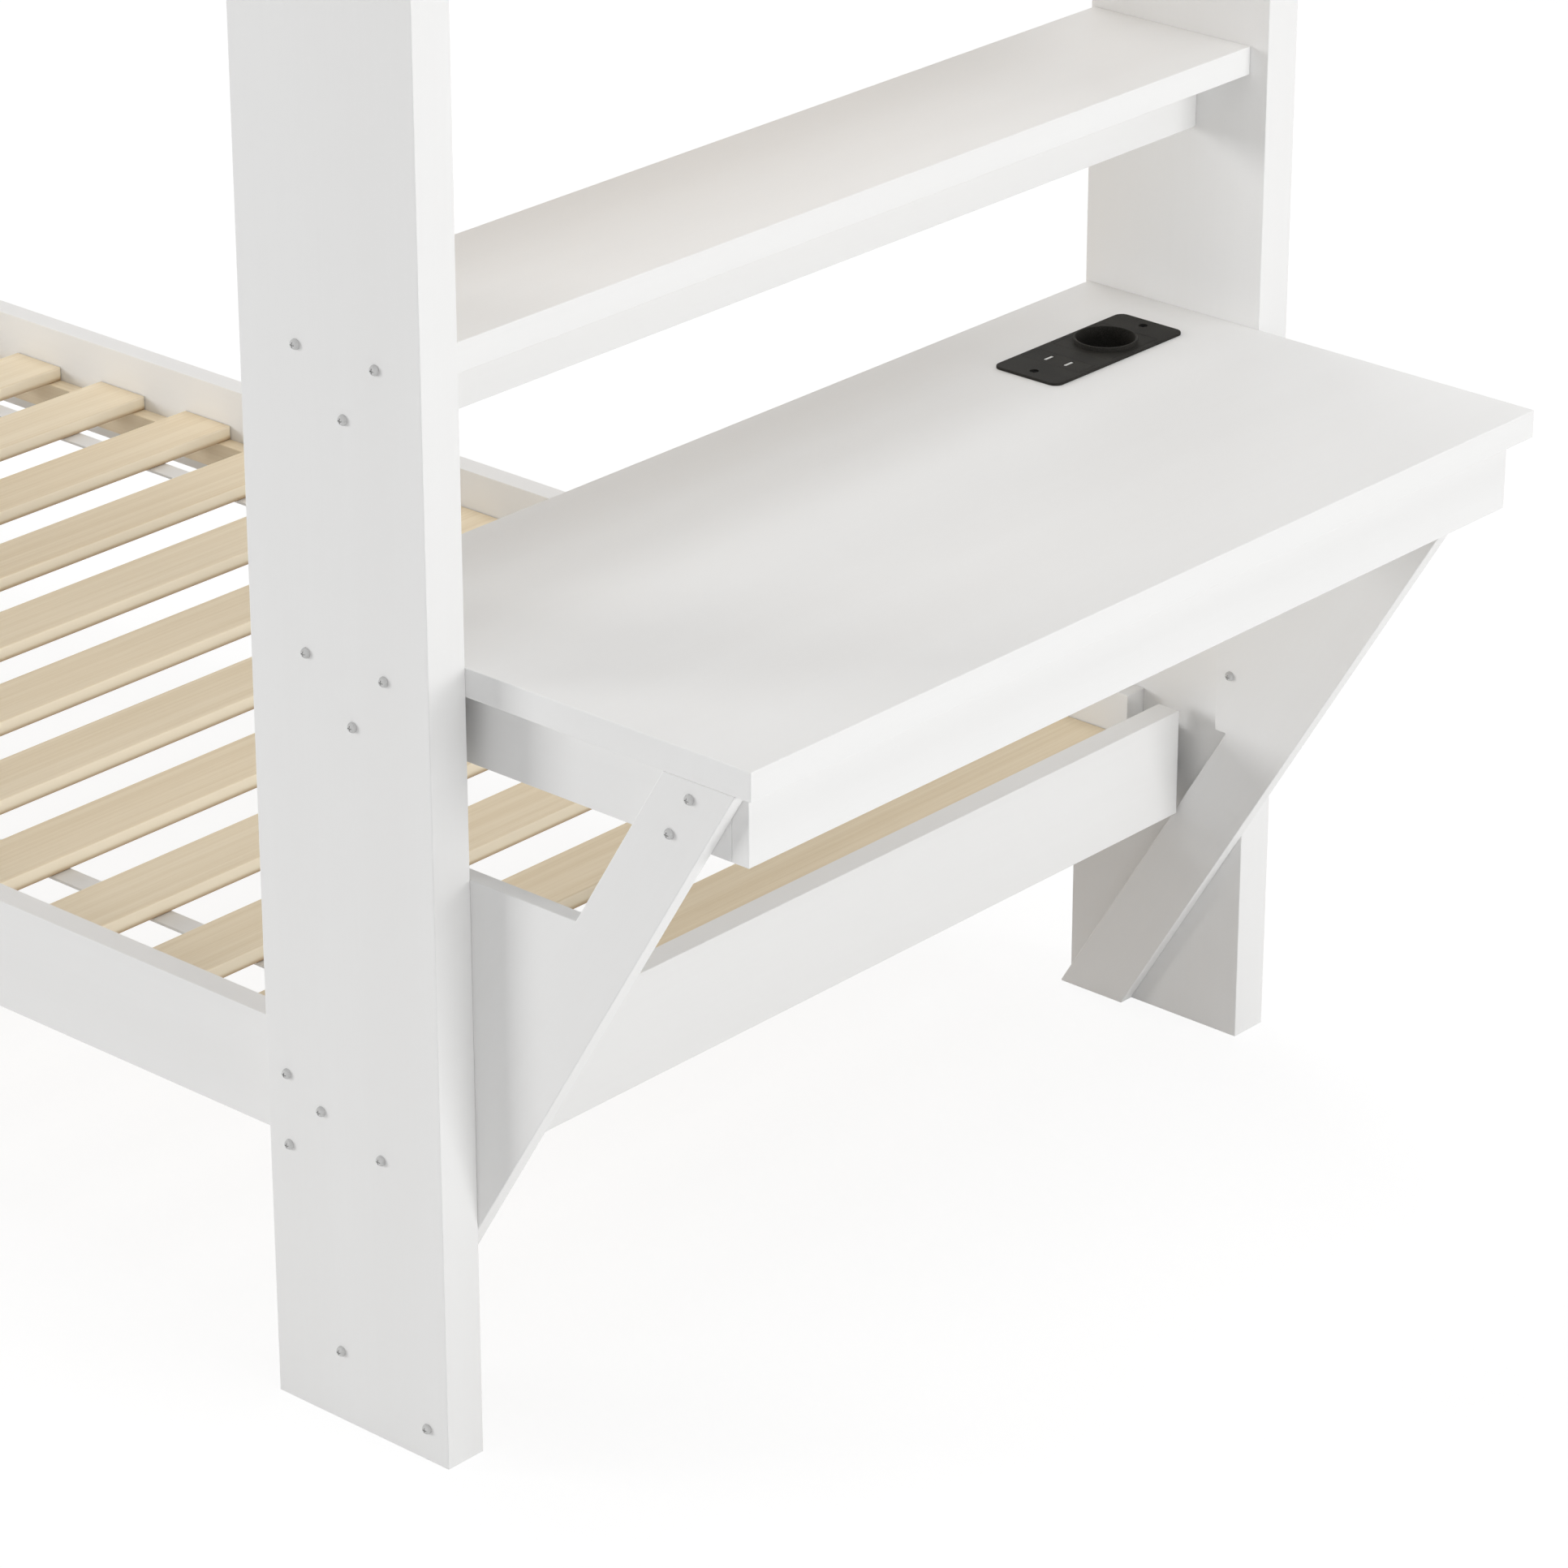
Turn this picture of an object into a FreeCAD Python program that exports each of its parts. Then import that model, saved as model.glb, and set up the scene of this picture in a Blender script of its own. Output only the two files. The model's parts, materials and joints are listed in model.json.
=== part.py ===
import FreeCAD, Part
import Sketcher
import os
import re

# A plank-built loft bed: an upper and a lower slatted bed between four post planks, with a ladder
# at the near side and a desk and a shelf across the foot end.
# X runs along the bed with the desk at +X, Y across it and Z up. The origin is on the floor, in the
# middle of the whole piece. Near is the -Y side and far the +Y side.

SIZES = {
    # Posts: planks that stand with their edge to the bed's end
    "clear_width": 1040,
    "post_thick": 42,
    "post_width": 204,
    "post_rise": 10,
    "arris": 0.9,
    # Bed frames
    "mattress_length": 1905,
    "rail_thick": 25,
    "rail_height": 107,
    "rail_end_gap": 33.5,
    "lower_rail_bottom": 225,
    "upper_rail_bottom": 1330,
    "end_rail_thick": 25,
    "end_rail_setback": 63.5,
    "end_rail_gap": 20,
    # Slat decks
    "slat_width": 70.7,
    "slat_thick": 15.5,
    "slat_round": 2,
    "slat_count": 14,
    "slat_drop": 42,
    "slat_foot_gap": 52.6,
    "slat_head_gap": 28,
    "slat_play": 1,
    "cleat_thick": 18,
    "cleat_height": 30,
    "tie_width": 24,
    "tie_thick": 3,
    "tie_arris": 0.8,
    "tie_inset_near": 119,
    "tie_inset_far": 95,
    # Steel angles between posts and end rails
    "bracket_thick": 3,
    "bracket_height": 60,
    "bracket_end_clear": 5.5,
    "bracket_grip": 42,
    "bracket_hole_inset": 14,
    "bracket_hole_edge": 7,
    # Guard boards of the upper bed
    "guard_height": 90,
    "guard_thick": 20,
    "guard_gap": 66,
    "end_guard_thick": 18,
    "upright_width": 70,
    "upright_thick": 20,
    # Ladder
    "ladder_gap": 10,
    "ladder_width": 380,
    "stile_thick": 30,
    "tread_thick": 28,
    "tread_first": 140,
    "tread_pitch": 250,
    "tread_count": 5,
    # Desk and shelf
    "desk_height": 725,
    "desk_thick": 26,
    "desk_reach": 307,
    "apron_height": 67,
    "apron_thick": 18,
    "apron_setback": 16.5,
    "cross_rail_thick": 16,
    "cross_rail_setback": 79.5,
    "shelf_gap": 240,
    "shelf_thick": 26.5,
    "shelf_setback": 20,
    "board_inset": 3,
    "shelf_rail_height": 62,
    # Desk braces: a leaning strip with an ear lapped on the post
    "brace_thick": 16,
    "brace_strip": 76,
    "brace_arris": 1,
    "ear_lap": 24,
    "ear_ledge": 13,
    "ear_height": 215,
    # Power outlet let into the desk top
    "outlet_from_far": 145,
    "outlet_setback": 82.5,
    "plate_side": 5.5,
    "plate_end": 14,
    "plate_thick": 2.5,
    "plate_corner": 9,
    "plate_edge": 0.8,
    "plate_hole_spacing": 157,
    "plate_recess": 8.6,
    "plate_recess_depth": 1.8,
    "tray_side": 2.5,
    "tray_end_gap": 17,
    "tray_lift": 3,
    "tray_wall": 1.5,
    "tray_play": 0.5,
    "socket_bore": 55,
    "socket_wall": 2,
    "socket_side": 2.5,
    "socket_end": 6,
    "socket_shift": 23.5,
    "socket_rise": 4.5,
    "socket_lip": 0.6,
    "socket_clear": 1.5,
    "usb_length": 23.5,
    "usb_shift": 43.8,
    "usb_block_depth": 13,
    "usb_block_margin": 3,
    "usb_slot_width": 4.2,
    "usb_slot_length": 12.6,
    "usb_slot_depth": 9,
    "usb_slot_spacing": 23,
    "usb_tongue_width": 2.6,
    "usb_tongue_drop": 0.2,
    "usb_tongue_margin": 1,
    "insert_play": 0.3,
    # Frame screws: round heads with a cross recess, in four lengths
    "screw_head": 9.4,
    "screw_head_rise": 4.4,
    "screw_head_round": 4,
    "screw_shank": 5,
    "screw_tip": 5,
    "screw_slot_length": 4.6,
    "screw_slot_width": 1,
    "screw_slot_depth": 1.2,
    "long_screw": 95,
    "joint_screw": 50,
    "short_screw": 27,
    "bracket_screw": 14,
    # Outlet screws: thin flat heads that sit in the plate's recesses
    "small_head": 7.6,
    "small_head_rise": 0.6,
    "small_head_round": 0.25,
    "small_shank": 3,
    "small_tip": 3,
    "small_slot_length": 4,
    "small_slot_width": 0.8,
    "small_slot_depth": 0.4,
    "outlet_screw": 12,
    "hole_play": 0.3,
    # Where the screws stand
    "board_screw_front": 50,
    "board_screw_back": 139,
    "rail_screw_end": 18,
    "rail_screw_edge": 24,
    "rail_screw_low": 23,
    "rail_screw_top": 17,
    "rail_screw_mid": 39,
    "end_rail_screw": 6.5,
    "end_rail_screw_rise": 46,
    "cross_rail_screw": 38,
    "heel_screw_rise": 68,
    "toe_screw_rise": 31,
    "toe_screw_inset": 24,
    "ear_screw_inset": 8,
    "ear_screw_margin": 60,
    "apron_screw_top": 16,
    "apron_screw_pitch": 36,
    "stile_screw_inset": 26,
    "tread_screw_inset": 11,
}

SIDES = ("near", "far")
ENDS = ("foot", "head")
RAIL_BOTTOM = {"lower": "lower_rail_bottom", "upper": "upper_rail_bottom"}

# Places that many pieces share, written as sums of the sizes
BED_LENGTH = "(mattress_length + 2 * end_rail_thick + 2 * end_rail_setback)"
FOOT_EDGE = f"(({BED_LENGTH} - desk_reach) / 2)"
HEAD_EDGE = f"({FOOT_EDGE} - {BED_LENGTH})"
NEAR_FACE = "(-clear_width / 2)"
FAR_FACE = "(clear_width / 2)"
RAIL_SETBACK = "(end_rail_setback + end_rail_thick + rail_end_gap)"
RAIL_START = f"({HEAD_EDGE} + {RAIL_SETBACK})"
RAIL_LENGTH = f"({BED_LENGTH} - 2 * {RAIL_SETBACK})"
SLAT_LENGTH = "(clear_width - 2 * rail_thick - 2 * slat_play)"
SLAT_PITCH = "((mattress_length - slat_foot_gap - slat_head_gap - slat_width) / (slat_count - 1))"
SLAT_START = f"({HEAD_EDGE} + end_rail_setback + end_rail_thick + slat_head_gap)"
GUARD_STEP = "(guard_gap + guard_height)"
UPPER_RAIL_TOP = "(upper_rail_bottom + rail_height)"
POST_HEIGHT = f"({UPPER_RAIL_TOP} + 2 * {GUARD_STEP} + post_rise)"
LADDER_START = f"({HEAD_EDGE} + post_width + ladder_gap)"
LADDER_END = f"({LADDER_START} + ladder_width)"
BOARD_DEPTH = "(post_width - board_inset)"
BOARD_BACK = f"({FOOT_EDGE} - {BOARD_DEPTH})"
DESK_UNDER = "(desk_height - desk_thick)"
APRON_BOTTOM = f"({DESK_UNDER} - apron_height)"
SHELF_UNDER = "(desk_height + shelf_gap)"
BRACE_RUN = "(post_width + desk_reach - apron_setback - brace_strip)"
BRACE_LEAN = f"({BRACE_RUN} / {DESK_UNDER})"
EAR_BOTTOM = f"((post_width - ear_lap + ear_ledge) / {BRACE_LEAN})"
EAR_TOP = f"({EAR_BOTTOM} + ear_height)"
OUTLET_X = f"({FOOT_EDGE} - outlet_setback)"
OUTLET_Y = f"({FAR_FACE} - outlet_from_far)"
INSERT_WIDTH = "(socket_bore + 2 * socket_wall + 2 * socket_side)"
SOCKET_LENGTH = "(socket_bore + 2 * socket_wall + 2 * socket_end)"
PLATE_WIDTH = f"({INSERT_WIDTH} + 2 * plate_side)"
PLATE_LENGTH = "(plate_hole_spacing + 2 * plate_end)"
TRAY_WIDTH = f"({INSERT_WIDTH} + 2 * tray_side)"
TRAY_LENGTH = "(plate_hole_spacing - tray_end_gap)"
TRAY_DEPTH = "(desk_thick - tray_lift)"
SOCKET_DEPTH = f"({TRAY_DEPTH} - tray_wall - socket_clear - socket_wall)"

# Which way a screw or a bore points
AXES = {
    "+x": FreeCAD.Rotation(FreeCAD.Vector(0, 1, 0), 90),
    "-x": FreeCAD.Rotation(FreeCAD.Vector(0, 1, 0), -90),
    "+y": FreeCAD.Rotation(FreeCAD.Vector(1, 0, 0), -90),
    "-y": FreeCAD.Rotation(FreeCAD.Vector(1, 0, 0), 90),
    "+z": FreeCAD.Rotation(),
    "-z": FreeCAD.Rotation(FreeCAD.Vector(1, 0, 0), 180),
}
INWARD = {"near": "+y", "far": "-y"}
OUTWARD = {"near": "-y", "far": "+y"}
END_OUTWARD = {"foot": "+x", "head": "-x"}

# Each screw length with the head form that it has
SCREW_FORMS = {
    "long_screw": "screw",
    "joint_screw": "screw",
    "short_screw": "screw",
    "bracket_screw": "screw",
    "outlet_screw": "small",
}
SIZE_WORD = re.compile(r"[a-z_]{2,}")
MATCH_SHARE = 0.001

doc = FreeCAD.newDocument("LoftBed")
sheet = doc.addObject("Spreadsheet::Sheet", "Sizes")
for row, (alias, value) in enumerate(SIZES.items(), start=1):
    sheet.set(f"A{row}", alias)
    sheet.set(f"B{row}", str(value))
    sheet.setAlias(f"B{row}", alias)
doc.recompute()

bodies = {}
holes = {kind: [] for kind in SCREW_FORMS}


def bound(text):
    """A sum of size names as an expression on the sheet."""
    return SIZE_WORD.sub(lambda word: "Sizes." + word.group(0), text)


def bind(item, **sums):
    """Bind properties of an item to sums of sizes."""
    for name, text in sums.items():
        item.setExpression(name, bound(text))


def put(item, point, axis="+z"):
    """Place an item at a point given as three sums of sizes, turned to an axis."""
    item.Placement = FreeCAD.Placement(FreeCAD.Vector(), AXES[axis])
    for letter, text in zip("xyz", point):
        item.setExpression("Placement.Base." + letter, bound(text))


def depth_at(side, inset):
    """Y of a plane that lies an inset inside the post face of its side."""
    return f"{NEAR_FACE} + ({inset})" if side == "near" else f"{FAR_FACE} - ({inset})"


def low_y(side, inset, thick):
    """Lowest Y of a board that stands an inset inside the post face of its side."""
    return depth_at(side, inset if side == "near" else f"{inset} + {thick}")


def setback_at(end, setback):
    """X of a plane that lies a setback inside the bed's end."""
    return f"{FOOT_EDGE} - ({setback})" if end == "foot" else f"{HEAD_EDGE} + ({setback})"


def low_x(end, setback, thick):
    """Lowest X of a board that stands a setback inside the bed's end."""
    return setback_at(end, f"{setback} + {thick}" if end == "foot" else setback)


def edges_along(shape, letter):
    """Names of the straight edges that run along one axis."""
    names = []
    for number, edge in enumerate(shape.Edges, start=1):
        run = edge.Vertexes[-1].Point - edge.Vertexes[0].Point
        if abs(getattr(run, letter)) > (1 - MATCH_SHARE) * edge.Length:
            names.append(f"Edge{number}")
    return names


def edges_level(shape, height):
    """Names of the edges that lie whole at one height."""
    names = []
    for number, edge in enumerate(shape.Edges, start=1):
        slack = edge.Length * MATCH_SHARE
        if abs(edge.BoundBox.ZMin - height) < slack and abs(edge.BoundBox.ZMax - height) < slack:
            names.append(f"Edge{number}")
    return names


def origin_feature(body, role):
    return next(item for item in body.Origin.OriginFeatures if item.Role == role)


def new_body(label):
    body = doc.addObject("PartDesign::Body", label + "_body")
    bodies[label] = body
    return body


def feature(body, kind, point, **sums):
    """Add or take away a primitive at a point of the body's own frame."""
    item = body.newObject("PartDesign::" + kind, body.Name + "_" + kind)
    bind(item, **sums)
    put(item, point)
    return item


def box(body, kind, point, size):
    """A box feature from its lowest corner."""
    return feature(body, kind, point, Length=size[0], Width=size[1], Height=size[2])


def ease(body, base, radius, names=None):
    """Round the named edges of a feature, or all of them."""
    doc.recompute()
    rounding = body.newObject("PartDesign::Fillet", body.Name + "_round")
    rounding.Base = (base, names or ["Face1"])
    rounding.UseAllEdges = names is None
    bind(rounding, Radius=radius)
    return rounding


def plank(label, corner, size, radius="arris"):
    """A board from its lowest corner, with all its edges eased."""
    body = new_body(label)
    blank = box(body, "AdditiveBox", ("0", "0", "0"), size)
    ease(body, blank, radius)
    put(body, corner)
    return body


def screw(kind, point, axis):
    """Mark a screw whose head seats at a point, by the hole that its shank needs."""
    form = SCREW_FORMS[kind]
    hole = doc.addObject("Part::Cylinder", kind + "_hole")
    bind(hole, Radius=f"{form}_shank / 2 + hole_play", Height=f"{kind} + {form}_tip + hole_play")
    put(hole, point, axis)
    holes[kind].append(hole)


def screw_body(kind):
    """One screw: its head stands on a seat at the origin, and its shank runs along +Z."""
    form = SCREW_FORMS[kind]
    radius = f"{form}_shank / 2"
    body = doc.addObject("PartDesign::Body", kind + "_body")
    head = feature(body, "AdditiveCylinder", ("0", "0", f"-{form}_head_rise"),
                   Radius=f"{form}_head / 2", Height=f"{form}_head_rise")
    doc.recompute()
    ease(body, head, f"{form}_head_round", edges_level(head.Shape, head.Shape.BoundBox.ZMin))
    feature(body, "AdditiveCylinder", ("0", "0", "0"), Radius=radius, Height=kind)
    feature(body, "AdditiveCone", ("0", "0", kind), Radius1=radius, Radius2="0", Height=f"{form}_tip")
    slot = (f"{form}_slot_length", f"{form}_slot_width")
    for length, width in (slot, slot[::-1]):
        box(body, "SubtractiveBox", (f"-{length} / 2", f"-{width} / 2", f"-{form}_head_rise"),
            (length, width, f"{form}_slot_depth"))
    return body


def make_posts():
    for end in ENDS:
        for side in SIDES:
            plank(f"{end}_post_{side}",
                  (low_x(end, "0", "post_width"), low_y(side, "-post_thick", "post_thick"), "0"),
                  ("post_width", "post_thick", POST_HEIGHT))


def make_bed(deck):
    """Rails, cleats, slats and steel angles of one bed."""
    bottom = RAIL_BOTTOM[deck]
    slat_under = f"({bottom} + rail_height - slat_drop - slat_thick)"
    angles = new_body(f"{deck}_end_brackets")
    for side in SIDES:
        plank(f"{deck}_side_rail_{side}", (RAIL_START, low_y(side, "0", "rail_thick"), bottom),
              (RAIL_LENGTH, "rail_thick", "rail_height"))
        plank(f"{deck}_slat_cleat_{side}",
              (RAIL_START, low_y(side, "rail_thick", "cleat_thick"), f"{slat_under} - cleat_height"),
              (RAIL_LENGTH, "cleat_thick", "cleat_height"))
        for end in ENDS:
            screw_rail(end, side, bottom)
            make_angle(angles, end, side, f"({bottom} + (rail_height - bracket_height) / 2)")
    for end in ENDS:
        plank(f"{deck}_{end}_rail",
              (low_x(end, "end_rail_setback", "end_rail_thick"), f"{NEAR_FACE} + end_rail_gap", bottom),
              ("end_rail_thick", "clear_width - 2 * end_rail_gap", "rail_height"))
    make_slats(deck, slat_under)


def screw_rail(end, side, bottom):
    """Screws in one post: three through it into the side rail, and one that stays in it by the end rail."""
    edge = "post_width - rail_screw_edge"
    outside = depth_at(side, "-post_thick")
    for setback, rise in (
        (edge, "rail_screw_low"),
        (edge, "rail_height - rail_screw_top"),
        (f"{RAIL_SETBACK} + rail_screw_end", "rail_height - rail_screw_mid"),
    ):
        screw("joint_screw", (setback_at(end, setback), outside, f"{bottom} + {rise}"), INWARD[side])
    screw("short_screw", (setback_at(end, "end_rail_setback + end_rail_screw"), outside,
                          f"{bottom} + end_rail_screw_rise"), INWARD[side])


def make_angle(body, end, side, bottom):
    """A steel angle with one leg on the post's inner face and one on the end rail's back."""
    seat = "end_rail_setback + end_rail_thick"
    post_leg = "(rail_end_gap - bracket_end_clear)"
    rail_leg = "(end_rail_gap + bracket_grip)"
    box(body, "AdditiveBox", (low_x(end, seat, "bracket_thick"), low_y(side, "0", rail_leg), bottom),
        ("bracket_thick", rail_leg, "bracket_height"))
    box(body, "AdditiveBox", (low_x(end, seat, post_leg), low_y(side, "0", "bracket_thick"), bottom),
        (post_leg, "bracket_thick", "bracket_height"))
    for inset in ("bracket_hole_inset", "bracket_height - bracket_hole_inset"):
        rise = f"{bottom} + {inset}"
        screw("bracket_screw", (setback_at(end, f"{seat} + bracket_thick"),
                                depth_at(side, f"{rail_leg} - bracket_hole_inset"), rise), END_OUTWARD[end])
        screw("bracket_screw", (setback_at(end, f"{seat} + {post_leg} - bracket_hole_edge"),
                                depth_at(side, "bracket_thick"), rise), OUTWARD[side])


def make_slats(deck, slat_under):
    """A row of round-edged slats, and the two thin strips that tie them underneath."""
    slats = new_body(f"{deck}_slats")
    blank = box(slats, "AdditiveBox", ("0", "0", "0"), ("slat_width", SLAT_LENGTH, "slat_thick"))
    doc.recompute()
    rounding = ease(slats, blank, "slat_round", edges_along(blank.Shape, "y"))
    pattern = slats.newObject("PartDesign::LinearPattern", f"{deck}_slat_row")
    pattern.Originals = [blank, rounding]
    pattern.Direction = (origin_feature(slats, "X_Axis"), [""])
    pattern.Mode = "Spacing"
    bind(pattern, Offset=SLAT_PITCH, Occurrences="slat_count")
    slats.Tip = pattern
    put(slats, (SLAT_START, f"{NEAR_FACE} + rail_thick + slat_play", slat_under))
    row_length = f"{SLAT_PITCH} * (slat_count - 1) + slat_width"
    for side in SIDES:
        tie_y = low_y(side, f"rail_thick + tie_inset_{side}", "tie_width")
        plank(f"{deck}_slat_tie_{side}", (SLAT_START, tie_y, f"{slat_under} - tie_thick"),
              (row_length, "tie_width", "tie_thick"), "tie_arris")


def make_guards():
    """Two rows of boards round the upper bed, open at the ladder beside an upright."""
    lap_end = f"({FOOT_EDGE} - {RAIL_SETBACK})"
    upright_middle = f"{LADDER_END} + upright_width / 2"
    upright_face = depth_at("near", "-upright_thick")
    plank("guard_upright", (LADDER_END, upright_face, "upper_rail_bottom"),
          ("upright_width", "upright_thick", f"rail_height + 2 * {GUARD_STEP}"))
    screw("short_screw", (upright_middle, upright_face, "upper_rail_bottom + rail_height / 2"), "+y")
    for name, level in (("low", "1"), ("high", "2")):
        bottom = f"({UPPER_RAIL_TOP} + {level} * {GUARD_STEP} - guard_height)"
        middle = f"{bottom} + guard_height / 2"
        plank(f"guard_far_{name}", (RAIL_START, low_y("far", "0", "guard_thick"), bottom),
              (RAIL_LENGTH, "guard_thick", "guard_height"))
        plank(f"guard_near_{name}", (LADDER_END, NEAR_FACE, bottom),
              (f"{lap_end} - {LADDER_END}", "guard_thick", "guard_height"))
        screw("short_screw", (upright_middle, upright_face, middle), "+y")
        for end in ENDS:
            plank(f"guard_{end}_{name}",
                  (low_x(end, "cross_rail_setback", "end_guard_thick"), NEAR_FACE, bottom),
                  ("end_guard_thick", "clear_width", "guard_height"))
            for side in SIDES:
                screw("long_screw", (setback_at(end, "cross_rail_setback + end_guard_thick / 2"),
                                     depth_at(side, "-post_thick"), middle), INWARD[side])
        for side, end in (("far", "foot"), ("far", "head"), ("near", "foot")):
            for setback in (f"{RAIL_SETBACK} + rail_screw_end", "post_width - rail_screw_edge"):
                screw("joint_screw", (setback_at(end, setback), depth_at(side, "-post_thick"), middle),
                      INWARD[side])


def make_ladder():
    """Two stiles screwed to both side rails, with flat treads between them."""
    front = depth_at("near", "-post_thick")
    for name, start in (("head", LADDER_START), ("foot", f"({LADDER_END} - stile_thick)")):
        plank(f"ladder_stile_{name}", (start, front, "0"), ("stile_thick", "post_thick", UPPER_RAIL_TOP))
        for bottom in RAIL_BOTTOM.values():
            for inset in ("stile_screw_inset", "rail_height - stile_screw_inset"):
                screw("joint_screw", (f"{start} + stile_thick / 2", front, f"{bottom} + {inset}"), "+y")
    for step in range(int(sheet.tread_count)):
        bottom = f"(tread_first + {step} * tread_pitch)"
        plank(f"ladder_tread_{step + 1}", (f"{LADDER_START} + stile_thick", front, bottom),
              ("ladder_width - 2 * stile_thick", "post_thick", "tread_thick"))
        for inset in ("tread_screw_inset", "post_thick - tread_screw_inset"):
            for outside, axis in ((LADDER_START, "+x"), (LADDER_END, "-x")):
                screw("joint_screw", (outside, f"{front} + {inset}", f"{bottom} + tread_thick / 2"), axis)


def make_desk():
    """Desk top between the posts, with aprons under it and a rail across its back."""
    top = plank("desk_top", (BOARD_BACK, NEAR_FACE, DESK_UNDER),
                (f"{BOARD_DEPTH} + desk_reach", "clear_width", "desk_thick"))
    box(top, "SubtractiveBox",
        (f"{BOARD_DEPTH} - outlet_setback - {TRAY_WIDTH} / 2 - tray_play",
         f"clear_width - outlet_from_far - {TRAY_LENGTH} / 2 - tray_play", "0"),
        (f"{TRAY_WIDTH} + 2 * tray_play", f"{TRAY_LENGTH} + 2 * tray_play", "desk_thick"))
    apron_back = "(desk_reach - apron_setback - apron_thick)"
    plank("desk_front_apron", (f"{FOOT_EDGE} + {apron_back}", f"{NEAR_FACE} + brace_thick", APRON_BOTTOM),
          ("apron_thick", "clear_width - 2 * brace_thick", "apron_height"))
    for side in SIDES:
        plank(f"desk_side_apron_{side}",
              (f"{FOOT_EDGE} - cross_rail_setback", low_y(side, "brace_thick", "apron_thick"), APRON_BOTTOM),
              (f"{apron_back} + cross_rail_setback", "apron_thick", "apron_height"))
    make_cross_rail("desk_back_rail", DESK_UNDER, "desk_thick", "apron_height")


def make_shelf():
    plank("shelf_board", (BOARD_BACK, NEAR_FACE, SHELF_UNDER),
          (f"{BOARD_DEPTH} - shelf_setback", "clear_width", "shelf_thick"))
    make_cross_rail("shelf_rail", SHELF_UNDER, "shelf_thick", "shelf_rail_height")


def make_cross_rail(label, under, board_thick, height):
    """A rail on edge under a board, and the screws of both through the foot posts."""
    plank(label, (low_x("foot", "cross_rail_setback", "cross_rail_thick"), NEAR_FACE, f"{under} - {height}"),
          ("cross_rail_thick", "clear_width", height))
    for side in SIDES:
        outside = depth_at(side, "-post_thick")
        for setback, rise in (
            ("board_screw_front", f"{under} + {board_thick} / 2"),
            ("board_screw_back", f"{under} + {board_thick} / 2"),
            ("cross_rail_setback + cross_rail_thick / 2", f"{under} - cross_rail_screw"),
        ):
            screw("long_screw", (setback_at("foot", setback), outside, rise), INWARD[side])


def make_brace(side):
    """One panel: a strip that leans from the post's heel to the desk's front, with an ear on the post."""
    ear_root = "(post_width - ear_lap)"
    outline = (
        ("0", "0"),
        ("brace_strip", "0"),
        (f"{BRACE_RUN} + brace_strip", DESK_UNDER),
        (BRACE_RUN, DESK_UNDER),
        (f"{BRACE_LEAN} * {EAR_TOP}", EAR_TOP),
        (ear_root, EAR_TOP),
        (ear_root, EAR_BOTTOM),
        (f"{ear_root} + ear_ledge", EAR_BOTTOM),
    )
    body = new_body(f"desk_brace_{side}")
    sketch = body.newObject("Sketcher::SketchObject", body.Name + "_outline")
    sketch.AttachmentSupport = (origin_feature(body, "XZ_Plane"), [""])
    sketch.MapMode = "FlatFace"
    draw_outline(sketch, outline)
    pad = body.newObject("PartDesign::Pad", body.Name + "_pad")
    pad.Profile = sketch
    bind(pad, Length="brace_thick")
    ease(body, pad, "brace_arris")
    heel = f"{FOOT_EDGE} - post_width"
    # The pad grows towards -Y from its sketch
    put(body, (heel, f"{low_y(side, '0', 'brace_thick')} + brace_thick", "0"))
    strip_middle = f"{heel} + brace_strip / 2 + {BRACE_LEAN}"
    top_rise = f"({DESK_UNDER} - apron_screw_top)"
    for rise in (top_rise, f"({top_rise} - apron_screw_pitch)"):
        screw("short_screw", (f"{strip_middle} * {rise}", depth_at(side, "0"), rise), INWARD[side])
    for rise in (f"{EAR_BOTTOM} + ear_screw_margin", f"{EAR_TOP} - ear_screw_margin"):
        screw("short_screw", (setback_at("foot", "ear_screw_inset"), depth_at(side, "brace_thick"), rise),
              OUTWARD[side])
    outside = depth_at(side, "-post_thick")
    screw("joint_screw", (f"{strip_middle} * heel_screw_rise", outside, "heel_screw_rise"), INWARD[side])
    screw("short_screw", (setback_at("foot", "toe_screw_inset"), outside, "toe_screw_rise"), INWARD[side])


def draw_outline(sketch, outline):
    """A closed outline of straight lines whose corners are bound to the sheet."""
    count = len(outline)
    step = sheet.brace_strip
    corners = [FreeCAD.Vector(step * number, step * number * number, 0) for number in range(count)]
    for number in range(count):
        sketch.addGeometry(Part.LineSegment(corners[number], corners[(number + 1) % count]), False)
    for number in range(count):
        sketch.addConstraint(Sketcher.Constraint("Coincident", number, 2, (number + 1) % count, 1))
    for number, corner in enumerate(outline):
        for kind, axis, text in (("DistanceX", -2, corner[0]), ("DistanceY", -1, corner[1])):
            if text == "0":
                sketch.addConstraint(Sketcher.Constraint("PointOnObject", number, 1, axis))
            else:
                place = sketch.addConstraint(Sketcher.Constraint(kind, -1, 1, number, 1, step))
                sketch.setExpression(f"Constraints[{place}]", bound(text))


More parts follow.
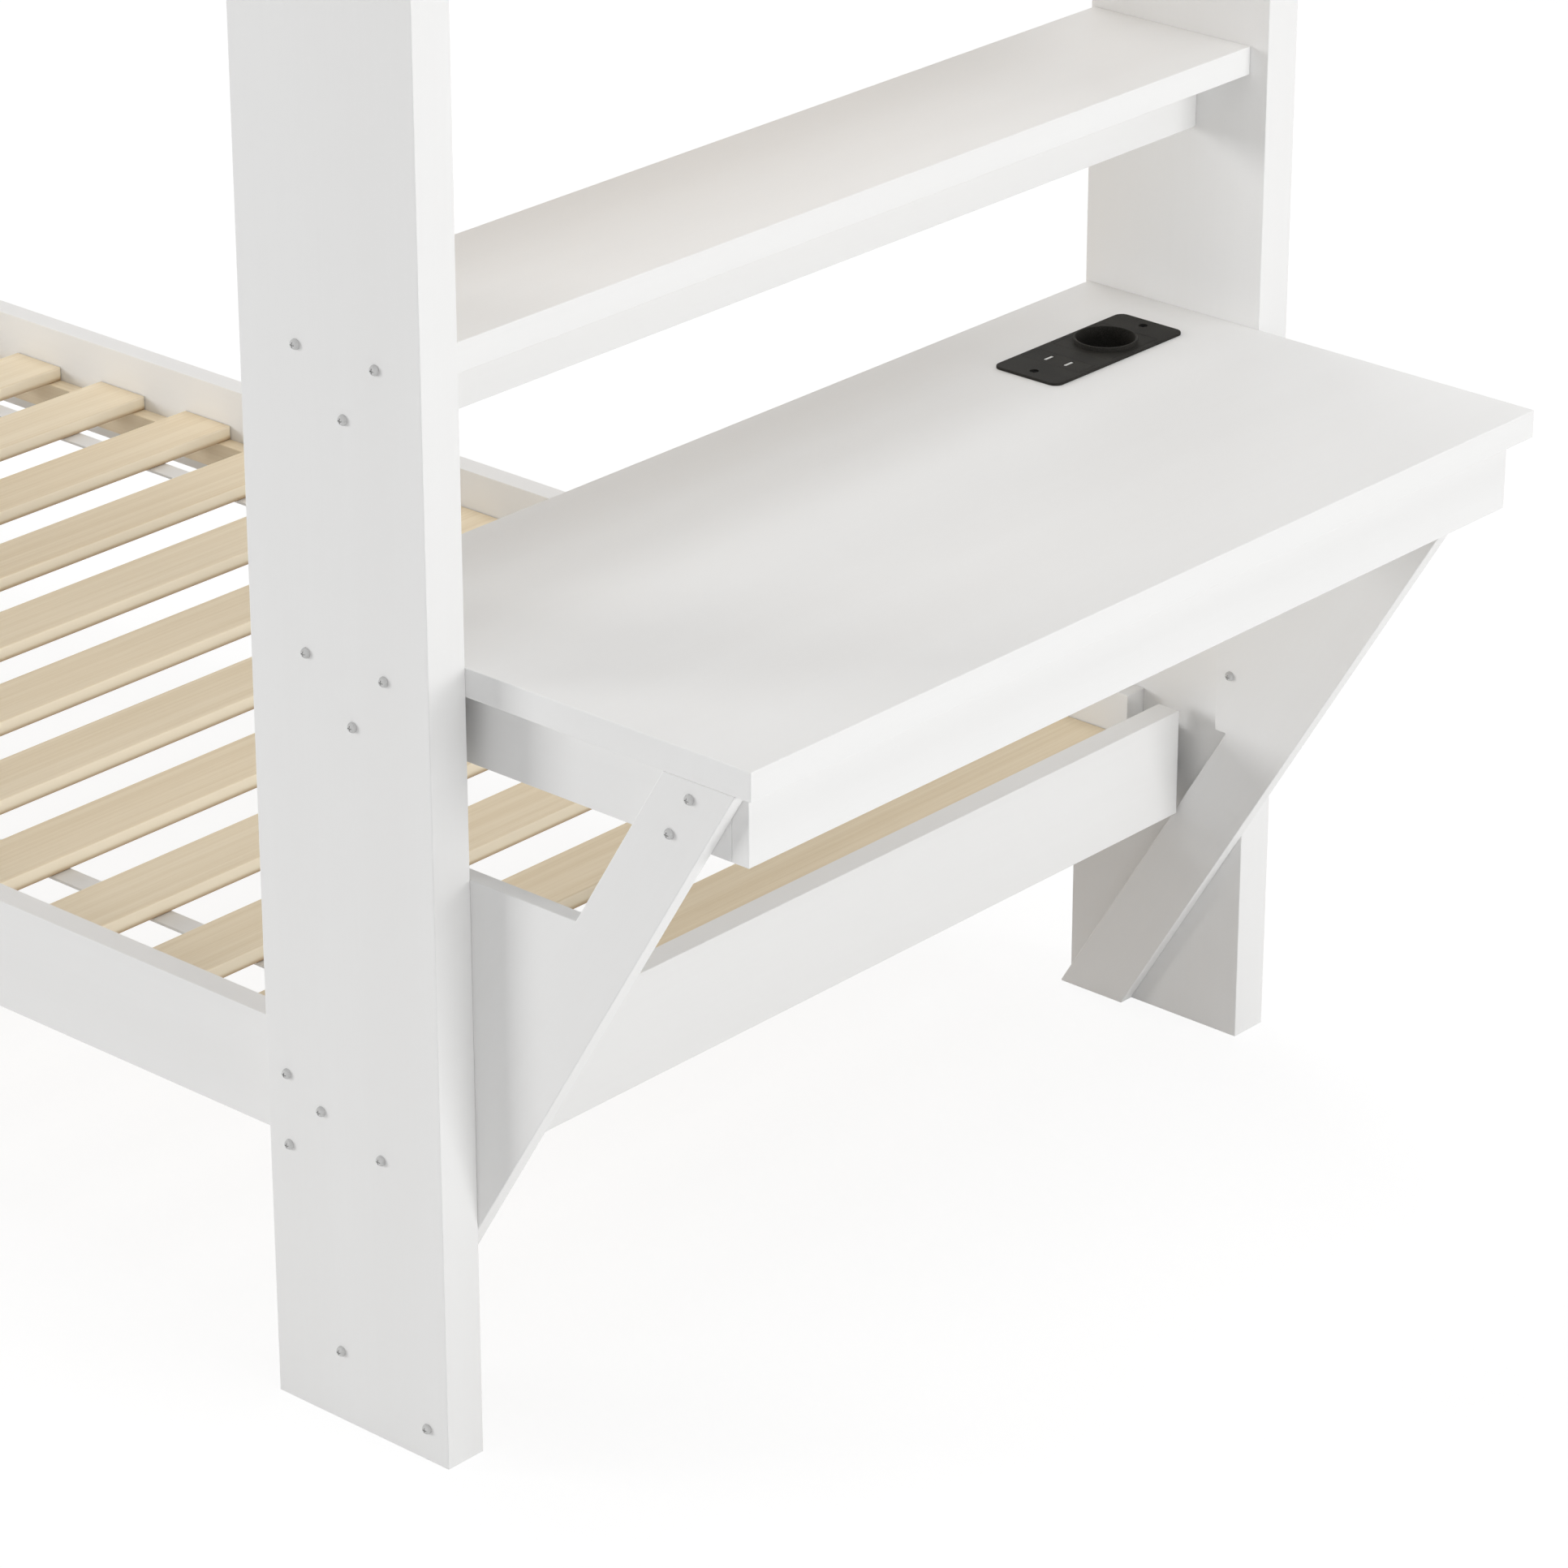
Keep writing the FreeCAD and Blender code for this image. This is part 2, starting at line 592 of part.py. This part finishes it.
def make_outlet_plate():
    """Cover plate on the desk top, with openings for its two inserts and recesses for its screws."""
    body = new_body("outlet_plate")
    blank = box(body, "AdditiveBox", (f"-{PLATE_WIDTH} / 2", f"-{PLATE_LENGTH} / 2", "0"),
                (PLATE_WIDTH, PLATE_LENGTH, "plate_thick"))
    doc.recompute()
    corners = ease(body, blank, "plate_corner", edges_along(blank.Shape, "z"))
    doc.recompute()
    ease(body, corners, "plate_edge", edges_level(corners.Shape, corners.Shape.BoundBox.ZMax))
    for shift, length in (("socket_shift", SOCKET_LENGTH), ("-usb_shift", "usb_length")):
        box(body, "SubtractiveBox",
            (f"-{INSERT_WIDTH} / 2 - insert_play", f"{shift} - {length} / 2 - insert_play", "0"),
            (f"{INSERT_WIDTH} + 2 * insert_play", f"{length} + 2 * insert_play", "plate_thick"))
    for place in ("-plate_hole_spacing / 2", "plate_hole_spacing / 2"):
        feature(body, "SubtractiveCylinder", ("0", place, "plate_thick - plate_recess_depth"),
                Radius="plate_recess / 2", Height="plate_recess_depth")
        screw("outlet_screw",
              (OUTLET_X, f"{OUTLET_Y} + {place}", "desk_height + plate_thick - plate_recess_depth"), "-z")
    put(body, (OUTLET_X, OUTLET_Y, "desk_height"))


def make_outlet_socket():
    """Round socket cup with a raised rim on its own rectangular insert."""
    body = new_body("outlet_socket")
    box(body, "AdditiveBox", (f"-{INSERT_WIDTH} / 2", f"-{SOCKET_LENGTH} / 2", "0"),
        (INSERT_WIDTH, SOCKET_LENGTH, "plate_thick"))
    rim = f"{SOCKET_DEPTH} + plate_thick + socket_rise"
    feature(body, "AdditiveCylinder", ("0", "0", f"-{SOCKET_DEPTH} - socket_wall"),
            Radius="socket_bore / 2 + socket_wall", Height=f"{rim} + socket_wall")
    cup = feature(body, "SubtractiveCylinder", ("0", "0", f"-{SOCKET_DEPTH}"),
                  Radius="socket_bore / 2", Height=rim)
    doc.recompute()
    ease(body, cup, "socket_lip", edges_level(cup.Shape, cup.Shape.BoundBox.ZMax))
    put(body, (OUTLET_X, f"{OUTLET_Y} + socket_shift", "desk_height"))


def make_usb():
    """Insert with two charging slots, and the tongues that stand in them."""
    body = new_body("usb_insert")
    tongues = new_body("usb_tongues")
    box(body, "AdditiveBox", (f"-{INSERT_WIDTH} / 2", "-usb_length / 2", "0"),
        (INSERT_WIDTH, "usb_length", "plate_thick"))
    box(body, "AdditiveBox",
        (f"usb_block_margin - {INSERT_WIDTH} / 2", "usb_block_margin - usb_length / 2", "-usb_block_depth"),
        (f"{INSERT_WIDTH} - 2 * usb_block_margin", "usb_length - 2 * usb_block_margin", "usb_block_depth"))
    slot_floor = "plate_thick - usb_slot_depth"
    slot = ("usb_slot_width", "usb_slot_length", "usb_slot_depth")
    tongue_length = "(usb_slot_length - 2 * usb_tongue_margin)"
    tongue = ("usb_tongue_width", tongue_length, "usb_slot_depth - usb_tongue_drop")
    for middle in ("-usb_slot_spacing / 2", "usb_slot_spacing / 2"):
        box(body, "SubtractiveBox",
            (f"{middle} - usb_slot_width / 2", "-usb_slot_length / 2", slot_floor), slot)
        box(tongues, "AdditiveBox",
            (f"{middle} - usb_tongue_width / 2", f"-{tongue_length} / 2", slot_floor), tongue)
    for item in (body, tongues):
        put(item, (OUTLET_X, f"{OUTLET_Y} - usb_shift", "desk_height"))


def make_outlet_tray():
    """Open tray in the desk's cut-out that closes the outlet from below."""
    body = new_body("outlet_tray")
    box(body, "AdditiveBox", (f"-{TRAY_WIDTH} / 2", f"-{TRAY_LENGTH} / 2", f"-{TRAY_DEPTH}"),
        (TRAY_WIDTH, TRAY_LENGTH, TRAY_DEPTH))
    box(body, "SubtractiveBox",
        (f"tray_wall - {TRAY_WIDTH} / 2", f"tray_wall - {TRAY_LENGTH} / 2", f"tray_wall - {TRAY_DEPTH}"),
        (f"{TRAY_WIDTH} - 2 * tray_wall", f"{TRAY_LENGTH} - 2 * tray_wall", f"{TRAY_DEPTH} - tray_wall"))
    put(body, (OUTLET_X, OUTLET_Y, "desk_height"))


def drill(label, body):
    """The finished piece: its body less every screw hole that reaches it."""
    reach = body.Shape.BoundBox
    bores = [hole for group in holes.values() for hole in group if reach.intersect(hole.Shape.BoundBox)]
    if not bores:
        body.Label = label
        return body
    tool = doc.addObject("Part::Compound", label + "_bores")
    tool.Links = bores
    piece = doc.addObject("Part::Cut", label)
    piece.Base = body
    piece.Tool = tool
    return piece


def gather(kind):
    """All screws of one length as a group of separate solids."""
    item = doc.addObject("Part::Feature", kind + "s")
    screws = []
    for hole in holes[kind]:
        copy = patterns[kind].Shape.copy()
        copy.Placement = hole.Placement
        screws.append(copy)
    item.Shape = Part.makeCompound(screws)
    return item


make_posts()
for deck_name in RAIL_BOTTOM:
    make_bed(deck_name)
make_guards()
make_ladder()
make_desk()
make_shelf()
for side_name in SIDES:
    make_brace(side_name)
make_outlet_plate()
make_outlet_socket()
make_usb()
make_outlet_tray()
patterns = {kind: screw_body(kind) for kind in SCREW_FORMS}
doc.recompute()

pieces = [drill(label, body) for label, body in bodies.items()]
doc.recompute()
pieces += [gather(kind) for kind in SCREW_FORMS]

for item in doc.Objects:
    if "Invalid" in item.State or "Error" in item.State:
        raise RuntimeError(f"{item.Name} failed: {item.State}")
for piece in pieces:
    if piece.Shape.isNull() or not piece.Shape.isValid() or not piece.Shape.Solids:
        raise RuntimeError(f"{piece.Label} has no valid solid")

os.makedirs("parts", exist_ok=True)
for piece in pieces:
    piece.Shape.exportStep(f"parts/{piece.Label}.step")
print(len(pieces), "pieces")
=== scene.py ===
import json
import math

import bpy
import numpy as np
from mathutils import Matrix, Vector

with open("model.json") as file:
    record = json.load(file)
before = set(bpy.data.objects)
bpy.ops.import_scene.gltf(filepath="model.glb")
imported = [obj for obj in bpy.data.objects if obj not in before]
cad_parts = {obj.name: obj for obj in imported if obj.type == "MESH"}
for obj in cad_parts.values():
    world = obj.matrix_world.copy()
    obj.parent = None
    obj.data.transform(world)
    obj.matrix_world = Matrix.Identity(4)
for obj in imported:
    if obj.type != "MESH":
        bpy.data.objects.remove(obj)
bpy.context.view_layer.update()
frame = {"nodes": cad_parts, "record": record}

# Loft bed with a desk at its foot end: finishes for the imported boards, studio floor, light and camera.
# Lengths are in metres, +X towards the desk, +Y away from the ladder, +Z up.

# The slat rows: where the first slat starts, from one slat to the next, and a slat's own width
SLAT_START, SLAT_PITCH, SLAT_WIDTH = -1.078, 0.1349, 0.0707
# Underside of the lower slats, a slat's thickness, and the height from one deck to the next
SLAT_UNDER, SLAT_THICK, DECK_STEP = 0.2745, 0.0155, 1.105
# How far under its slats a deck's heights begin, so that the two decks stay apart
DECK_MARGIN = 0.1
# A cleat is one board from end to end, so its row begins before it and has a step longer than it
CLEAT_START, CLEAT_PITCH = -2.0, 4.0
# The lean of the desk braces, sideways travel over height
BRACE_LEAN = 418.5 / 699

# Words in the names of painted boards that tell which way their wood runs
UPRIGHT_BOARDS = ("post", "stile", "upright")
LENGTHWAYS_BOARDS = ("side_rail", "side_apron", "slat_tie", "guard_near", "guard_far", "ladder_tread")

# Each finish from its darkest tone to its palest
PAINT_TONES = (0.860, 0.857, 0.849), (0.874, 0.873, 0.867)
ZINC_TONES = (0.56, 0.56, 0.555), (0.66, 0.66, 0.655)
BLACKED_TONES = (0.004, 0.004, 0.004), (0.009, 0.009, 0.009)
CHARCOAL_TONES = (0.0178, 0.0169, 0.0149), (0.0375, 0.0358, 0.0322)
TONGUE_TONES = (0.60, 0.60, 0.59), (0.69, 0.69, 0.68)
FLOOR_TONES = (0.86, 0.86, 0.86), (0.88, 0.88, 0.88)
# Pine: pale early wood and warm late wood, each for the darkest and the palest board
EARLY_WOOD_TONES = (0.905, 0.785, 0.588), (0.928, 0.820, 0.632)
LATE_WOOD_TONES = (0.735, 0.590, 0.385), (0.778, 0.642, 0.436)
# Slats: a pale colour painted as a highlight on their sides, and a dark brown painted as shade towards
# their undersides
PAINTED_EDGE_HIGHLIGHT, PAINTED_UNDERSIDE_SHADE = (0.980, 0.884, 0.706), (0.455, 0.290, 0.135)
# From one late wood line to the next, and by how many lines they wander
RING_STEP, RING_WANDER = 0.0062, 3.4
# What each board's own chance starts from, and how far it moves the pattern along the board
BOARD_SEED, BOARD_DRIFT = 3.7, 9

# Floor: half its side, how near its white is dimmest and how far it is full, its strength and share
FLOOR_HALF = 30.0
WHITE_NEAR, WHITE_FAR = 3.0, 10.0
DIM_WHITE, FULL_WHITE = (0.90, 0.90, 0.90), (1.0, 1.0, 1.0)
WHITE_STRENGTH, WHITE_SHARE = 1.22, 0.78
# Strength of the even light from all round
EVEN_LIGHT = 0.43
# Lamps: place, target, width, height and power
SOFTBOXES = {
    "low_softbox": ((9.0, 1.0, 1.6), (0.9, 0.0, 0.4), 5.0, 2.0, 280),
    "over_desk_softbox": ((1.9, 0.0, 4.8), (1.2, 0.0, 0.6), 2.6, 2.6, 52),
    "ladder_side_softbox": ((-11.0, -10.0, 3.4), (0.7, -0.3, 0.6), 5.4, 5.4, 1010),
    "head_end_softbox": ((-2.0, 1.0, 4.6), (0.8, 0.0, 0.6), 3.0, 3.0, 72),
}

# Camera: its eye, degrees turned from looking along +Y, degrees tipped down, and lens in image widths
EYE = (4.0679, -3.7206, 2.6769)
CAMERA_TURN, CAMERA_TIP = 41.576, 24.512
LENS_SHARE = 7556.5 / 1932
SENSOR_WIDTH = 36.0
CLIP_NEAR, CLIP_FAR = 0.05, 200.0


class Wire:
    """A socket in a node tree, which sums and products can be written with."""

    def __init__(self, tree, socket=None):
        self.tree = tree
        self.socket = socket

    def add(self, kind, settings=None, values=None, out=0):
        """Add a node: its type, its settings, then values or wires for its sockets by name or number."""
        node = self.tree.nodes.new(kind)
        for name, setting in (settings or {}).items():
            setattr(node, name, setting)
        for name, value in (values or {}).items():
            if isinstance(value, Wire):
                self.tree.links.new(value.socket, node.inputs[name])
            else:
                node.inputs[name].default_value = value
        return Wire(self.tree, node.outputs[out] if node.outputs else None)

    def math(self, operation, *terms):
        """A Math node on these numbers or wires."""
        return self.add("ShaderNodeMath", {"operation": operation}, dict(enumerate(terms)))

    def __add__(self, other):
        return self.math("ADD", self, other)

    __radd__ = __add__

    def __sub__(self, other):
        return self.math("SUBTRACT", self, other)

    def __rsub__(self, other):
        return self.math("SUBTRACT", other, self)

    def __mul__(self, other):
        return self.math("MULTIPLY", self, other)

    __rmul__ = __mul__

    def __truediv__(self, other):
        return self.math("DIVIDE", self, other)

    def __rtruediv__(self, other):
        return self.math("DIVIDE", other, self)

    def __pow__(self, other):
        return self.math("POWER", self, other)

    def __rpow__(self, other):
        return self.math("POWER", other, self)

    def stretched(self, scale):
        """This vector with each axis scaled."""
        return self.add("ShaderNodeVectorMath", {"operation": "MULTIPLY"}, {0: self, 1: scale})

    def noise(self, scale, detail=2.0, roughness=0.5):
        """Cloudy values from 0 to 1 at this vector."""
        return self.add("ShaderNodeTexNoise", {"noise_dimensions": "3D"},
                        {"Vector": self, "Scale": scale, "Detail": detail, "Roughness": roughness})

    def ramp(self, low, high):
        """This value eased so that it goes from 0 at the low end to 1 at the high end."""
        return self.add("ShaderNodeMapRange", {"interpolation_type": "SMOOTHSTEP"},
                        {"Value": self, "From Min": low, "From Max": high})

    def blend(self, first, second):
        """One colour turning into another as this value goes from 0 to 1."""
        first, second = ((*c, 1.0) if isinstance(c, tuple) else c for c in (first, second))
        return self.add("ShaderNodeMix", {"data_type": "RGBA"}, {0: self, 6: first, 7: second}, out=2)

    def parts(self):
        """The three numbers of this vector."""
        first = self.add("ShaderNodeSeparateXYZ", None, {0: self})
        return [Wire(self.tree, socket) for socket in first.socket.node.outputs]

    def joined(self, x, y, z):
        """A vector of three numbers or wires."""
        return self.add("ShaderNodeCombineXYZ", None, {0: x, 1: y, 2: z})


def finish_of(name):
    """A new material, its shader node, and the place on the object as a vector."""
    made = bpy.data.materials.new(name)
    made.use_nodes = True
    tree = made.node_tree
    shader = next(n for n in tree.nodes if n.type == "BSDF_PRINCIPLED")
    place = Wire(tree).add("ShaderNodeTexCoord", out=3)
    return made, shader, place


def coat(shader, place, colour, roughness, height, depth, strength):
    """Feed a finish's changing colour, roughness and fine relief into its shader."""
    relief = place.add("ShaderNodeBump", None,
                       {"Strength": strength, "Distance": depth, "Height": height})
    for socket, wire in (("Base Color", colour), ("Roughness", roughness), ("Normal", relief)):
        place.tree.links.new(wire.socket, shader.inputs[socket])


def along_grain(place, grain):
    """The place turned so that its first axis runs with the grain: X, Y, Z or the braces' lean."""
    x, y, z = place.parts()
    if grain == "lean":
        length = math.hypot(1, BRACE_LEAN)
        return place.joined((z + x * BRACE_LEAN) / length, (x - z * BRACE_LEAN) / length, y)
    order = {"x": (x, y, z), "y": (y, x, z), "z": (z, x, y)}[grain]
    return place.joined(*order)


def white_paint(grain):
    """Satin white paint: broad soft tone bands and fine streaks with the grain, and a slight peel."""
    made, shader, place = finish_of(f"white_paint_{grain}")
    board = along_grain(place, grain)
    bands = board.stretched((0.6, 14, 14)).noise(1.0, 2.0)
    streaks = board.stretched((7, 240, 240)).noise(1.0, 3.0, 0.6)
    peel = place.noise(620, 2.0)
    colour = (0.75 * bands + 0.25 * streaks).ramp(0.30, 0.70).blend(*PAINT_TONES)
    roughness = 0.38 + 0.06 * streaks + 0.05 * peel
    coat(shader, place, colour, roughness, 0.55 * streaks + 0.45 * peel, 0.00008, 0.12)
    shader.inputs["Specular IOR Level"].default_value = 0.42
    return made


def bare_pine(name, grain, row_start, pitch):
    """Bare sanded pine: straight soft bands and late wood lines along the board, fine fibres and
    flecks, and a tone of its own for each board in its row. Slats, whose grain is Y, also have a pale
    painted highlight on their sides and painted shade, darker and browner, towards their underside."""
    made, shader, place = finish_of(name)
    x, _, z = place.parts()
    number = place.math("FLOOR", (x - row_start) / pitch)
    chance = place.add("ShaderNodeTexWhiteNoise", {"noise_dimensions": "1D"},
                       {"W": number + BOARD_SEED}, out=1)
    tone_of, slope_of, drift_of = chance.parts()
    along, across, deep = along_grain(place, grain).parts()
    board = place.joined(along + drift_of * BOARD_DRIFT, across + deep * (slope_of - 0.3), deep * 0.4)
    bands = board.stretched((1.1, 95, 95)).noise(1.0, 2.0)
    wander = board.stretched((1.3, 8, 8)).noise(1.0, 2.0)
    turn = (across + deep * (slope_of + 0.4)) / RING_STEP + wander * RING_WANDER
    ring = turn.math("FRACT", turn)
    late = (ring ** 3.0) * (1.0 - ring.ramp(0.88, 1.0))
    fibres = board.stretched((13, 820, 820)).noise(1.0, 3.0, 0.65)
    flecks = board.stretched((55, 1500, 1500)).noise(1.0, 1.0).ramp(0.62, 0.80)
    pale = tone_of.blend(*EARLY_WOOD_TONES)
    warm = tone_of.blend(*LATE_WOOD_TONES)
    share = (0.34 * bands.ramp(0.34, 0.68) + 0.16 * late
             + 0.22 * fibres.ramp(0.35, 0.75) + 0.08 * flecks)
    colour = share.blend(pale, warm)
    if grain == "y":
        # Height in the slat, from 0 at its underside to 1 at its top, on either deck
        over_margin = place.math("FLOORED_MODULO", z - SLAT_UNDER + DECK_MARGIN, DECK_STEP)
        height = (over_margin - DECK_MARGIN) / SLAT_THICK
        # Painted highlight: a pale band over most of each slat's side faces, below its top
        painted_highlight = 0.95 * height.ramp(0.20, 0.45) * (1.0 - height.ramp(0.92, 0.985))
        # Painted shade: darker and browner towards each slat's underside
        painted_shade = 0.82 * (1.0 - height.ramp(0.0, 0.36))
        colour = painted_shade.blend(painted_highlight.blend(colour, PAINTED_EDGE_HIGHLIGHT), PAINTED_UNDERSIDE_SHADE)
    roughness = 0.50 + 0.12 * fibres - 0.06 * late
    coat(shader, place, colour, roughness, 0.8 * fibres - 0.3 * late, 0.0002, 0.25)
    shader.inputs["Specular IOR Level"].default_value = 0.35
    return made


def zinc_steel():
    """Dull zinc plated steel: pale grey with a faint cloudy plating and fine grit."""
    made, shader, place = finish_of("zinc_steel")
    clouds = place.noise(260, 2.0)
    grit = place.noise(2600, 2.0)
    colour = (0.6 * clouds + 0.4 * grit).ramp(0.3, 0.7).blend(*ZINC_TONES)
    roughness = 0.52 + 0.14 * clouds + 0.08 * grit
    coat(shader, place, colour, roughness, grit, 0.00004, 0.25)
    shader.inputs["Metallic"].default_value = 0.6
    return made


def black_steel():
    """Blacked steel of the outlet's screws."""
    made, shader, place = finish_of("black_steel")
    clouds = place.noise(700, 2.0)
    colour = clouds.blend(*BLACKED_TONES)
    coat(shader, place, colour, 0.52 + 0.16 * clouds, clouds, 0.00003, 0.2)
    shader.inputs["Specular IOR Level"].default_value = 0.10
    return made


def charcoal_plastic():
    """Matte moulded plastic: charcoal with a fine speckled grain."""
    made, shader, place = finish_of("charcoal_plastic")
    grain = place.noise(980, 3.0, 0.70)
    clouds = place.noise(38, 2.0)
    colour = (0.8 * grain + 0.2 * clouds).ramp(0.36, 0.64).blend(*CHARCOAL_TONES)
    coat(shader, place, colour, 0.52 + 0.14 * grain, grain, 0.00009, 0.25)
    shader.inputs["Specular IOR Level"].default_value = 0.10
    return made


def white_plastic():
    """Moulded white plastic of the tongues in the charging slots."""
    made, shader, place = finish_of("white_plastic")
    clouds = place.noise(900, 2.0)
    colour = clouds.blend(*TONGUE_TONES)
    coat(shader, place, colour, 0.32 + 0.12 * clouds, clouds, 0.00003, 0.2)
    return made


def grain_of(name):
    """Which way the wood of a painted board runs."""
    if name.startswith("desk_brace"):
        return "lean"
    if any(word in name for word in UPRIGHT_BOARDS):
        return "z"
    if any(word in name for word in LENGTHWAYS_BOARDS):
        return "x"
    return "y"


def dress_boards():
    """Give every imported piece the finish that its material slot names."""
    paints = {grain: white_paint(grain) for grain in ("x", "y", "z", "lean")}
    others = {
        "zinc_steel": zinc_steel(),
        "black_steel": black_steel(),
        "charcoal_plastic": charcoal_plastic(),
        "white_plastic": white_plastic(),
    }
    slat_pine = bare_pine("slat_pine", "y", SLAT_START - (SLAT_PITCH - SLAT_WIDTH) / 2, SLAT_PITCH)
    cleat_pine = bare_pine("cleat_pine", "x", CLEAT_START, CLEAT_PITCH)
    for row in frame["record"]["subparts"]:
        name, slot = row["node"], row["material_slot"]
        if slot == "white_paint":
            finish = paints[grain_of(name)]
        elif slot == "pine":
            finish = slat_pine if name.endswith("_slats") else cleat_pine
        else:
            finish = others[slot]
        mesh = frame["nodes"][name].data
        mesh.materials.clear()
        mesh.materials.append(finish)


def seen_rays(base):
    """1 for rays from the camera, or from gloss and glass, and 0 for rays that only carry light."""
    outs = base.add("ShaderNodeLightPath").socket.node.outputs
    camera, gloss, glass = (Wire(base.tree, outs[f"Is {kind} Ray"])
                            for kind in ("Camera", "Glossy", "Transmission"))
    return base.math("MINIMUM", camera + gloss + glass, 1.0)


def studio_floor():
    """A plain pale floor, a square of four corners, that reads white, whiter further off, and keeps a
    soft shadow of the bed."""
    corners = FLOOR_HALF * np.array([(-1, -1, 0), (1, -1, 0), (1, 1, 0), (-1, 1, 0)])
    mesh = bpy.data.meshes.new("studio_floor")
    mesh.from_pydata(corners.tolist(), [], [(0, 1, 2, 3)])
    floor = bpy.data.objects.new("studio_floor", mesh)
    bpy.context.scene.collection.objects.link(floor)
    made = bpy.data.materials.new("studio_floor")
    made.use_nodes = True
    made.node_tree.nodes.clear()
    base = Wire(made.node_tree)
    place = base.add("ShaderNodeTexCoord", out=3)
    colour = place.noise(3.0, 2.0).blend(*FLOOR_TONES)
    matte = base.add("ShaderNodeBsdfDiffuse", None, {"Color": colour})
    distance = base.add("ShaderNodeVectorMath", {"operation": "LENGTH"}, {0: place}, out=1)
    paler = distance.ramp(WHITE_NEAR, WHITE_FAR).blend(DIM_WHITE, FULL_WHITE)
    white = base.add("ShaderNodeEmission", None, {"Color": paler, "Strength": WHITE_STRENGTH})
    mixed = base.add("ShaderNodeMixShader", None, {0: seen_rays(base) * WHITE_SHARE, 1: matte, 2: white})
    base.add("ShaderNodeOutputMaterial", None, {"Surface": mixed})
    mesh.materials.append(made)


def studio_world():
    """Even light from all round, and plain white where the camera or a gloss sees past the floor."""
    world = bpy.data.worlds.new("studio")
    bpy.context.scene.world = world
    world.use_nodes = True
    world.node_tree.nodes.clear()
    base = Wire(world.node_tree)
    even, white = (base.add("ShaderNodeBackground", None, {"Color": (1, 1, 1, 1), "Strength": strength})
                   for strength in (EVEN_LIGHT, 1.0))
    mixed = base.add("ShaderNodeMixShader", None, {0: seen_rays(base), 1: even, 2: white})
    base.add("ShaderNodeOutputWorld", None, {"Surface": mixed})


def set_up(name, data, place, aim):
    """Put a lamp or a camera in the scene at a place, looking along the aim with its top upwards."""
    item = bpy.data.objects.new(name, data)
    bpy.context.scene.collection.objects.link(item)
    turned = aim.to_track_quat("-Z", "Y").to_matrix().to_4x4()
    item.matrix_world = Matrix.Translation(Vector(place)) @ turned
    return item


def softbox(name, place, target, width, height, power):
    """A rectangular lamp at a place, turned to a target. Gloss shows the white studio and no lamp."""
    lamp = bpy.data.lights.new(name, "AREA")
    lamp.shape = "RECTANGLE"
    lamp.size, lamp.size_y = width, height
    lamp.energy = power
    item = set_up(name, lamp, place, Vector(target) - Vector(place))
    item.visible_glossy = False


def studio_camera():
    """The camera at the photo's own eye point, tipped down, without shift."""
    data = bpy.data.cameras.new("studio_camera")
    data.sensor_width = SENSOR_WIDTH
    data.lens = LENS_SHARE * SENSOR_WIDTH
    data.clip_start, data.clip_end = CLIP_NEAR, CLIP_FAR
    turn, tip = math.radians(CAMERA_TURN), math.radians(CAMERA_TIP)
    level = math.cos(tip)
    forward = Vector((-math.sin(turn) * level, math.cos(turn) * level, -math.sin(tip)))
    bpy.context.scene.camera = set_up("studio_camera", data, EYE, forward)


dress_boards()
studio_floor()
studio_world()
for lamp_name, lamp_row in SOFTBOXES.items():
    softbox(lamp_name, *lamp_row)
studio_camera()
bpy.context.scene.view_settings.view_transform = "Standard"
